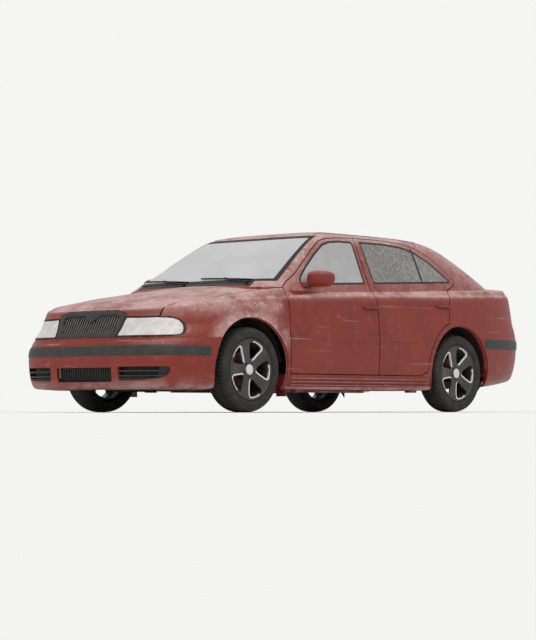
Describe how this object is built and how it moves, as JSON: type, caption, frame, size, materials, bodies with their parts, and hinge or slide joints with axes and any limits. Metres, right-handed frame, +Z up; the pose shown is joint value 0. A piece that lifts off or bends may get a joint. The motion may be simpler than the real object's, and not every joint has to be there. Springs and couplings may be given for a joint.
{
  "type": "liftback saloon car",
  "caption": "Weathered mid-size five-door liftback car standing on its wheels, with opening doors, bonnet, tailgate and fuel flap, steering front wheels and a hollow cabin.",
  "frame": {"origin": "on the ground, under the centre of the car's bounding box", "axes": "+X towards the nose, +Y to the driver's left, +Z up"},
  "size_m": [4.516, 1.9738, 1.431],
  "materials": {
    "paint": "faded, chalky and scratched",
    "underbody": "matt, dirty, patches of grey",
    "dark_plastic": "grained, sun-bleached",
    "lamp_lens": "hazed clear",
    "red_lens": "hazed red",
    "window_glass": "frosted with dust",
    "steel_parts": "dirty, surface rust",
    "exhaust_steel": "stained",
    "rubber_flap": "dirty",
    "tyre_rubber": "worn, grey with dust",
    "seat_cloth": "worn grey cloth",
    "cabin_plastic": "dusty"
  },
  "bodies": {
    "car_body": {"floor_pan": "underbody", "undertray": "underbody", "sills": "paint", "body_sides": "paint", "b_pillars": "paint", "roof_panel": "paint", "front_fenders": "paint", "front_bumper": "paint", "rear_bumper": "paint", "grille": "dark_plastic", "headlights": "lamp_lens", "tail_lights": "red_lens", "windscreen": "window_glass", "cowl": "dark_plastic", "firewall": "underbody", "inner_wings": "underbody", "radiator": "steel_parts", "subframe": "steel_parts", "rear_axle": "steel_parts", "rear_springs": "steel_parts", "engine_block": "steel_parts", "exhaust": "exhaust_steel", "fuel_tank": "cabin_plastic", "mudflaps": "rubber_flap", "front_seats": "seat_cloth", "rear_bench": "seat_cloth", "dashboard": "cabin_plastic", "steering_column": "cabin_plastic"},
    "bonnet": {"bonnet": "paint"},
    "tailgate": {"tailgate": "paint", "rear_screen": "window_glass"},
    "front_door_left": {"front_door_left": "paint"},
    "front_door_right": {"front_door_right": "paint"},
    "rear_door_left": {"rear_door_left": "paint"},
    "rear_door_right": {"rear_door_right": "paint"},
    "steer_left": {"knuckle_left": "steel_parts"},
    "steer_right": {"knuckle_right": "steel_parts"},
    "wheel_front_left": {"wheel_front_left": "tyre_rubber"},
    "wheel_front_right": {"wheel_front_right": "tyre_rubber"},
    "wheel_rear_left": {"wheel_rear_left": "tyre_rubber"},
    "wheel_rear_right": {"wheel_rear_right": "tyre_rubber"},
    "steering_wheel": {"steering_wheel": "cabin_plastic"},
    "fuel_flap": {"fuel_flap": "paint"}
  },
  "joints": [
    {"name": "front_left_door_hinge", "type": "hinge", "parent": "car_body", "child": "front_door_left", "pos_m": [0.886, 0.848, 0.55], "axis": [0, 0, -1], "range_deg": [0, 65]},
    {"name": "front_right_door_hinge", "type": "hinge", "parent": "car_body", "child": "front_door_right", "pos_m": [0.886, -0.848, 0.55], "axis": [0, 0, 1], "range_deg": [0, 65]},
    {"name": "rear_left_door_hinge", "type": "hinge", "parent": "car_body", "child": "rear_door_left", "pos_m": [-0.1545, 0.848, 0.55], "axis": [0, 0, -1], "range_deg": [0, 65]},
    {"name": "rear_right_door_hinge", "type": "hinge", "parent": "car_body", "child": "rear_door_right", "pos_m": [-0.1545, -0.848, 0.55], "axis": [0, 0, 1], "range_deg": [0, 65]},
    {"name": "bonnet_hinge", "type": "hinge", "parent": "car_body", "child": "bonnet", "pos_m": [1.108, 0, 0.968], "axis": [0, -1, 0], "range_deg": [0, 55]},
    {"name": "tailgate_hinge", "type": "hinge", "parent": "car_body", "child": "tailgate", "pos_m": [-0.9975, 0, 1.41], "axis": [0, 1, 0], "range_deg": [0, 75]},
    {"name": "left_steer", "type": "hinge", "parent": "car_body", "child": "steer_left", "pos_m": [1.353, 0.663, 0.204], "axis": [-0.033, -0.1702, 0.9849], "range_deg": [-33, 33]},
    {"name": "right_steer", "type": "hinge", "parent": "car_body", "child": "steer_right", "pos_m": [1.353, -0.663, 0.204], "axis": [-0.033, 0.1702, 0.9849], "range_deg": [-33, 33]},
    {"name": "front_left_wheel_spin", "type": "hinge", "parent": "steer_left", "child": "wheel_front_left", "pos_m": [1.353, 0.745, 0.316], "axis": [0, 1, 0], "continuous": true},
    {"name": "front_right_wheel_spin", "type": "hinge", "parent": "steer_right", "child": "wheel_front_right", "pos_m": [1.353, -0.745, 0.316], "axis": [0, 1, 0], "continuous": true},
    {"name": "rear_left_wheel_spin", "type": "hinge", "parent": "car_body", "child": "wheel_rear_left", "pos_m": [-1.159, 0.74, 0.316], "axis": [0, 1, 0], "continuous": true},
    {"name": "rear_right_wheel_spin", "type": "hinge", "parent": "car_body", "child": "wheel_rear_right", "pos_m": [-1.159, -0.74, 0.316], "axis": [0, 1, 0], "continuous": true},
    {"name": "steering_wheel_turn", "type": "hinge", "parent": "car_body", "child": "steering_wheel", "pos_m": [0.52, 0.365, 0.86], "axis": [-0.9063, 0, 0.4226], "range_deg": [-530, 530]},
    {"name": "fuel_flap_hinge", "type": "hinge", "parent": "car_body", "child": "fuel_flap", "pos_m": [-1.563, -0.829, 0.8], "axis": [0, 0, 1], "range_deg": [0, 90]}
  ],
  "couplings": [
    {"joint": "right_steer", "follows": "left_steer", "ratio": 1},
    {"joint": "steering_wheel_turn", "follows": "left_steer", "ratio": 15}
  ]
}
